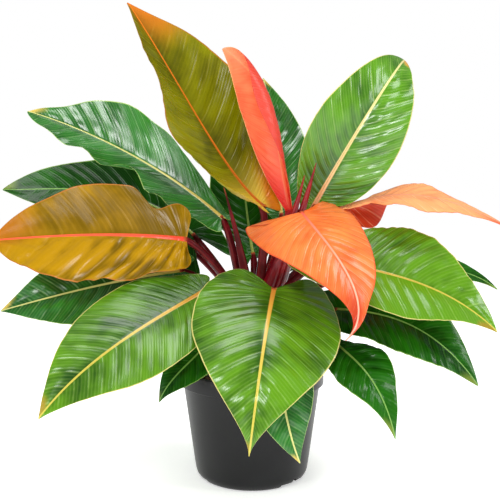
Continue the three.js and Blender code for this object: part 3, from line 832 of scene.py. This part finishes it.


# A leaf's halves may be painted lighter or darker: partly their own tone, and partly painted shade and
# light as light falls on each half.
def grow_leaf(name, material, base, third, two_thirds, tip, face, width, widest=(1, 1),
              point=0.15, fullness=(1, 1), lobe=(0.08, 0.08), twist=0, fold=(6, 6), base_fold=(0, 0),
              curl=(-10, -10), wave=(3, 3), rhythm=(2, 0), notch=((0.5, 0), (0.5, 0)), tone_and_shade=(0, 0),
              pleat=(1.3, 1.3), spacing=10.5, thick=(6.4, 3.7), skin=stalk_skin):
    """A leaf blade on its stalk, in millimetres and degrees; pairs give its right half, then its left."""
    a, b, c, d = (Vector(place) for place in (base, third, two_thirds, tip))
    rib = [a, (-5 * a + 18 * b - 9 * c + 2 * d) / 6, (2 * a - 9 * b + 18 * c - 5 * d) / 6, d]
    places = [bezier(rib, step / RIB_STEPS)[0] for step in range(RIB_STEPS + 1)]
    length = sum((end - start).length for start, end in zip(places, places[1:]))
    values = {label: place * MM for label, place in zip(RIB_POINTS, rib)}
    values.update({
        "Length": length * MM, "Face": Vector(face), "Twist": math.radians(twist),
        "Half width": width * MM, "Point": float(point), "Wave count": float(rhythm[0]),
        "Wave start": float(rhythm[1]), "Vein count": length / spacing,
        "Seed": float(sum(base)) / SEED_PARTS, "Rows": BLADE_ROWS, "Columns": BLADE_COLUMNS,
        "Material": material})
    pairs = {
        "Widest": widest, "Fullness": fullness, "Lobe": lobe, "Tint": tone_and_shade,
        "Fold": map(math.radians, fold), "Base fold": map(math.radians, base_fold),
        "Curl": [math.radians(turn or FLAT_CURL) for turn in curl],
        "Wave": [high * MM for high in wave], "Pleat": [high * MM for high in pleat],
        "Notch place": [place for place, _ in notch], "Notch depth": [depth for _, depth in notch]}
    for label, pair in pairs.items():
        for side, value in zip(HALVES, pair):
            values[f"{label} {side}"] = float(value)
    blade = grow("leaf_" + name, blade_tree, values)
    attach(blade, "root")
    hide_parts("blade_" + name)

    forward = (rib[1] - a).normalized()
    right = forward.cross(Vector(face)).normalized()
    lean = math.radians(fold[0] + base_fold[0])
    normal = right.cross(forward) * math.cos(lean) - right * math.sin(lean)
    end = a + forward * STALK_OVERLAP - normal * STALK_DROP
    outwards = Vector((a.x - CROWN.x, a.y, 0)).normalized()
    root = CROWN + outwards * STALK_RING
    low_root, high_root = STALK_ROOT_HEIGHTS
    low_leaf, high_leaf = LEAF_HEIGHTS
    height = low_root + (a.z - low_leaf) / (high_leaf - low_leaf) * (high_root - low_root)
    root.z = min(high_root, max(low_root, height))
    rise = (Vector((0, 0, 1)) + outwards * STALK_LEAN).normalized()
    bends = [root, root + rise * (end - root).length * STALK_RUN, end - forward * STALK_BEND, end]
    grow_stalk("stalk_" + name, bends, thick, material=skin)


# The full-grown leaves are green, with yellow ribs, a pale margin and a small golden tip. They are
# a warm green in front and a colder one lower down and further back. The young one at the upper
# right is lighter, with a broad pale midrib that is pink-orange at the stalk.
leaf_green = leaf_material(
    "green leaf", vein_strength=0.16, furrow=0.06, margin_width=0.02, tip_start=0.978, gloss=0.42,
    deep="143e04", light="568a0c", vein="a4c860", margin="c8c070", rib="c4b54a",
    rib_at_stalk="d08a30", tip="94801c", base="2c5a04", lobe="2c5a04", under="6f9a34")
leaf_middle = leaf_material(
    "middle green leaf", vein_strength=0.16, margin_width=0.02, tip_start=0.978, rib_width=0.85,
    deep="083c10", light="287420", vein="9cc878", margin="a0bc68", rib="d0d080",
    rib_at_stalk="d0b450", tip="c8b050", base="1c5a10", lobe="1c5a10", under="5f9440")
grow_leaf("upper_left", leaf_middle, (-34, -15, 305), (-108, 5, 359), (-187, 2, 401),
          (-257, -10, 427), face=(-0.1, -1, 0.75), width=50, widest=(1.6, 1.25), fullness=(1, 0.5),
          lobe=(0.06, 0.08), fold=(16, 23), curl=(20, 10), wave=(2, 9), rhythm=(5.3, 0.44),
          notch=((0.88, 0.32), (0.53, 0.6)), pleat=(1.2, 1.4))
grow_leaf("low_left", leaf_middle, (-80, -20, 245), (-151, -25, 233),
          (-218, -30, 218), (-283, -40, 201), face=(0, -1, 0.6), width=54, point=0, lobe=(0.1, 0.1),
          fold=(5, 10), curl=(10, 10), wave=(4, 4), tone_and_shade=(-0.1, -0.1))
grow_leaf("front_left", leaf_green, (-48, -75, 230), (-104, -120, 201),
          (-156, -160, 167), (-200, -190, 122), face=(0, -1, 0.7), width=55, point=0.05,
          lobe=(0.08, 0.1), fold=(5, 14), curl=(-15, -15), rhythm=(2.5, 0), tone_and_shade=(-0.15, 0.05),
          pleat=(0.7, 0.7))
grow_leaf("front_centre", leaf_green, (24, -70, 230), (13, -130, 186), (4, -165, 134),
          (-3, -175, 81), face=(0.1, -1, 0.6), width=76, widest=(0.66, 0.66), point=0.8,
          lobe=(0.13, 0.22), fold=(8, 4), curl=(-20, -20), rhythm=(2, 0.5), tone_and_shade=(-0.05, 0.05))
leaf_young = leaf_material(
    "young green leaf", base_reach=0.4, margin_width=0.02, tip_start=0.978, rib_width=1.25,
    deep="1c4c0a", light="50880e", vein="b0cc70", margin="c8c070", rib="d4cc88",
    rib_at_stalk="e08c58", tip="c8942e", base="6c8a08", lobe="5c8a08", under="7a9c3c")
grow_leaf("upper_right", leaf_young, (71, -20, 319), (99, -35, 371), (142, -35, 442),
          (180, 20, 490), face=(-0.1, -1, 0.2), width=50, widest=(1.12, 1.12), point=0.05,
          lobe=(0, 0.08), fold=(4, 30), curl=(-10, 0), wave=(5, 5), rhythm=(2.5, 0), tone_and_shade=(0.1, 0),
          pleat=(2.4, 1.5))
grow_leaf("right_green", leaf_green, (77, -55, 259), (137, -80, 249), (198, -95, 229),
          (257, -100, 188), face=(0, -1, 0.8), width=60, point=0, lobe=(0.2, 0.1), fold=(25, 12),
          curl=(-15, -15), wave=(4, 4), tone_and_shade=(0.55, 0.2), pleat=(1.3, 2.1))
grow_leaf("under_centre", leaf_middle, (22, -70, 180), (28, -108, 144),
          (36, -125, 101), (49, -130, 58), face=(0.1, -1, 0.5), width=33, wave=(2, 2))
grow_leaf("back_left", leaf_middle, (-75, 85, 262), (-125, 130, 285),
          (-175, 170, 280), (-220, 195, 250), face=(0, 0.2, 1), width=46, widest=(0.95, 0.95),
          point=0.2, lobe=(0.12, 0.12))
grow_leaf("back_right", leaf_middle, (60, 80, 240), (90, 130, 262), (118, 175, 262),
          (140, 210, 235), face=(0, 0.3, 1), width=44, widest=(0.95, 0.95), point=0.2,
          lobe=(0.12, 0.12))

# The oldest leaves stand low or at the back. They have lost their first colour and are a deep
# bottle green, with paler ribs and veins. The one behind the newest leaf is a middle green.
leaf_dark = leaf_material(
    "dark green leaf", tip_start=0.96, rib_width=0.7, gloss=0.2, deep="042c02", light="1a5c06",
    vein="4f8a30", margin="7fa04a", rib="7aa652", rib_at_stalk="94a04a", tip="6a7f2a",
    base="0a2c04", lobe="0a2c04", under="3a6a2a")
grow_leaf("dark_left", leaf_dark, (-69, 20, 283), (-150, 45, 329),
          (-234, 48, 339), (-297, 20, 338), face=(0, -1, 0.8), width=47, widest=(1, 0.75),
          fullness=(0.75, 0.6), lobe=(0.22, 0.2), fold=(5, 5), curl=(10, -10), wave=(4, 4),
          tone_and_shade=(-0.2, -0.2), pleat=(0.5, 0.5))
grow_leaf("behind_new", leaf_middle, (36, 35, 307), (32, 50, 363), (25, 55, 422),
          (14, 50, 474), face=(0, -1, 0.2), width=38, point=0.1, lobe=(0.05, 0.05), fold=(8, 8),
          curl=(5, 5))
grow_leaf("right_back", leaf_dark, (117, 20, 238), (180, 40, 243),
          (246, 48, 240), (302, 38, 216), face=(0, -1, 1.4), width=30, lobe=(0.1, 0.1))
grow_leaf("right_lower", leaf_dark, (94, -40, 203), (146, -65, 199),
          (195, -80, 177), (243, -85, 127), face=(0, -1, 0.9), width=42, fullness=(0.7, 0.8),
          lobe=(0.16, 0.27), fold=(16, 6), tone_and_shade=(-0.1, 0.05))
grow_leaf("right_drooping", leaf_dark, (92, -60, 169), (109, -85, 156),
          (131, -100, 129), (151, -105, 75), face=(0.3, -1, 0.6), width=31, widest=(1, 1.25),
          wave=(2, 2), tone_and_shade=(0.1, 0.2))
grow_leaf("rim_left", leaf_dark, (-42, -40, 182), (-57, -60, 159),
          (-81, -70, 136), (-101, -75, 106), face=(-0.3, -1, 0.7), width=26, wave=(2, 2))
grow_leaf("behind_bronze", leaf_dark, (2, 30, 259), (-7, 60, 320),
          (-15, 80, 390), (-25, 85, 459), face=(0, -1, 0.3), width=42,
          notch=((0.5, 0), (0.2, 0.38)))
grow_leaf("back_low", leaf_dark, (5, 75, 215), (10, 130, 205), (15, 175, 165),
          (18, 195, 110), face=(0, 0.8, 1), width=50, widest=(0.95, 0.95), point=0.2,
          lobe=(0.12, 0.12))
grow_leaf("back_upper", leaf_dark, (75, 70, 325), (105, 105, 370),
          (130, 130, 410), (150, 140, 450), face=(0, 0.8, 1), width=38, widest=(0.95, 0.95),
          point=0.2, lobe=(0.1, 0.1))

# The tallest leaf is some weeks old and half way from orange to green. It is olive, with the
# orange still in its midrib, its tip, its margins and the lobe beside its stalk. The base of its
# left half is a pale yellow, partly its own colour and partly a painted highlight.
leaf_bronze = leaf_material(
    "bronze leaf", tip_start=0.88, base_reach=0.6, gloss=0.22, deep="464600", light="747400",
    vein="9a8e1a", margin="9a681a", rib="d0701a", rib_at_stalk="c0601c", tip="b9671a",
    base="d4b43c", lobe="b8660c", under="7f8a2c")
grow_leaf("top_bronze", leaf_bronze, (12, -30, 319), (-33, -42, 373),
          (-80, -57, 450), (-131, -74, 533), face=(0.45, -1, 0.15), width=66, widest=(1.2, 1.2),
          point=0, lobe=(0.1, 0.06), twist=12, fold=(14, 32), base_fold=(0, 26), curl=(-10, 15),
          wave=(10, 10), rhythm=(2.5, 0.25), notch=((0.84, -0.25), (0.7, -0.32)), pleat=(0.8, 1.3))

# The golden leaf is a little younger: amber all over, with strong pleats in one half, a
# brown-orange margin and a coral midrib that ends against the maroon of its stalk.
leaf_golden = leaf_material(
    "golden leaf", vein_strength=0.1, tip_start=0.85, furrow=0.22, gloss=0.2, deep="6a5000",
    light="a67c04", vein="c09428", margin="ac6c2c", rib="e65a3c", rib_at_stalk="e04430",
    tip="a86410", base="a87410", lobe="b87c1c", under="b09024")
# Its upper, right half is painted darker, as painted shade.
grow_leaf("golden_left", leaf_golden, (-71, -64, 283), (-144, -66, 288),
          (-220, -55, 286), (-289, -45, 281), face=(0, -1, 0.45), width=58, point=0.3,
          fullness=(0.45, 0.45), lobe=(0.03, 0.05), fold=(0, 5), curl=(15, 20), wave=(3, 2),
          rhythm=(3, 0), notch=((0.26, 0.43), (0.25, 0.18)), pleat=(0.4, 3.4), spacing=19,
          tone_and_shade=(-0.3, 0.1))

# The two orange leaves are the last to have opened. The front one is clear orange with faint
# veins, and the right one is paler, with pale veins. Both are redder at the margin and below.
leaf_orange = leaf_material(
    "orange leaf", vein_strength=0.12, tip_start=0.6, rib_width=0.6, gloss=0.4, deep="ce4c18",
    light="ee803e", vein="f8b07c", margin="dc5430", rib="f0a488", rib_at_stalk="e05a48",
    tip="b02818", base="e06020", lobe="e06020", under="c83818")
grow_leaf("front_orange", leaf_orange, (54, -60, 313), (78, -130, 279),
          (97, -185, 238), (85, -205, 199), face=(-0.2, -0.7, 1), width=60, widest=(0.32, 0.38),
          point=1, lobe=(0.2, 0.3), fold=(-5, -12), curl=(-20, -20), wave=(2, 2),
          notch=((0.5, 0), (0.8, 0.25)), pleat=(0.8, 0.8))
leaf_pale_orange = leaf_material(
    "pale orange leaf", vein_strength=0.3, tip_start=0.9, rib_width=0.6, gloss=0.25, deep="d85e2c",
    light="f6a066", vein="f8bc8c", margin="e06c40", rib="f0a488", rib_at_stalk="e05a48",
    tip="d84c28", base="e8703c", lobe="e8703c", under="c0340c")
grow_leaf("right_orange", leaf_pale_orange, (104, -22, 319), (159, -38, 331),
          (217, -52, 324), (290, -62, 290), face=(0, -0.1, 1), width=42, widest=(1.15, 0.85),
          point=0.2, lobe=(0.08, 0.05), fold=(-8, 11), base_fold=(0, -99), curl=(-10, 0),
          notch=((0.3, 0.4), (0.5, 0)), tone_and_shade=(0.3, 0.3))

# The newest leaf is still rolled. Its inside, seen at the top, is salmon pink, and its outside is
# a glossy coral red that deepens towards the stalk.
leaf_coral = leaf_material(
    "coral leaf", vein_strength=0.05, base_reach=0.8, gloss=0.3, deep="e85c3c", light="f49060",
    vein="f8a080", margin="f8b070", rib="f49060", rib_at_stalk="c0281c", tip="f09068",
    base="cc2418", lobe="c41c14", under="c43a2a")
grow_leaf("new_coral", leaf_coral, (44, -32, 312), (30, -50, 381), (12, -66, 441),
          (-31, -80, 484), face=(-0.6, -1, 0.1), width=38, widest=(2.8, 2), point=0.35,
          fullness=(0.5, 0.6), lobe=(0, 0), fold=(20, 20), curl=(140, 75), wave=(0, 0),
          rhythm=(1, 0), pleat=(0.4, 0.4), thick=(9, 8), skin=sheath_skin)
